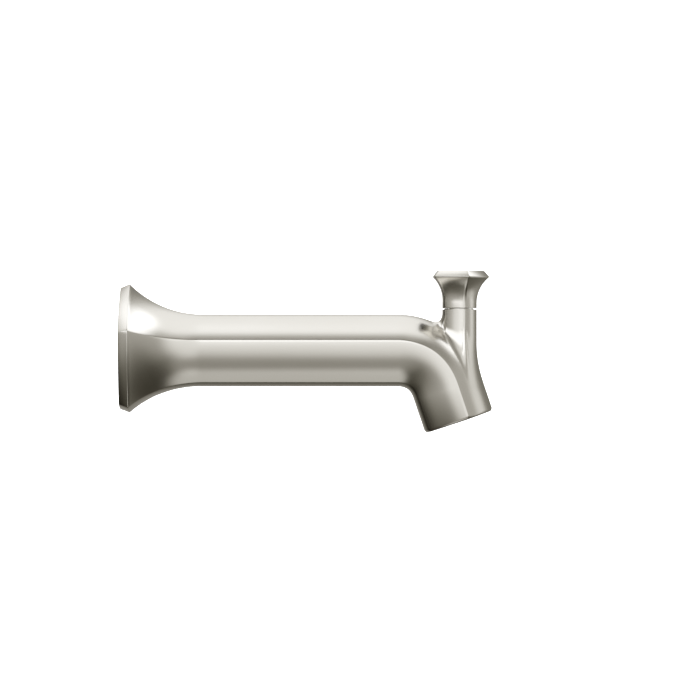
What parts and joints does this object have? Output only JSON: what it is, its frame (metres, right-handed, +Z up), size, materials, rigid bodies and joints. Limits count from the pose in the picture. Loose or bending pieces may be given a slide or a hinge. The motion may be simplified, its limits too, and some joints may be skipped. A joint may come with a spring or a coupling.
{
  "type": "wall mounted bath spout with diverter",
  "caption": "Wall mounted bath spout of five-sided section with a flared wall rim, a down-turned outlet and a pull-up shower diverter knob.",
  "frame": {"origin": "on the supply pipe's axis, in the plane of the finished wall", "axes": "+X out of the wall along the barrel, +Z up, +Y to the left of someone facing out from the wall; the spout is symmetric about the XZ plane"},
  "size_m": [0.1998, 0.0696, 0.087],
  "materials": {
    "satin_nickel": "satin brushed nickel",
    "brass": "machined, unplated",
    "stainless": "plain",
    "black_rubber": "matt",
    "foam": "matt",
    "white_acetal": "matt",
    "grey_plastic": "matt"
  },
  "bodies": {
    "spout": {"spout_body": "satin_nickel", "wall_gasket": "foam", "inlet_adapter": "brass", "pipe_o_ring_rear": "black_rubber", "pipe_o_ring_front": "black_rubber", "set_screw": "stainless", "waterway_tube": "brass", "tube_o_ring_rear": "black_rubber", "tube_o_ring_front": "black_rubber", "diverter_seat": "brass", "gate_guide": "white_acetal", "guide_retaining_ring": "stainless", "return_spring": "stainless", "stem_bushing": "brass", "stem_o_ring": "black_rubber", "bushing_o_ring": "black_rubber", "straightener_housing": "grey_plastic", "stream_straightener": "grey_plastic", "outlet_gasket": "black_rubber"},
    "diverter": {"lift_knob": "satin_nickel", "knob_bumper": "white_acetal", "knob_jam_nut": "brass", "lift_stem": "stainless", "gate_carrier": "white_acetal", "gate_seal": "black_rubber", "gate_washer": "stainless", "gate_screw": "stainless"}
  },
  "joints": [
    {"name": "diverter_lift", "type": "slide", "parent": "spout", "child": "diverter", "axis": [0, 0, 1], "range_m": [0, 0.014], "stiffness_N_per_m": 60, "springref_m": -0.02, "deforming": ["return_spring"]}
  ]
}
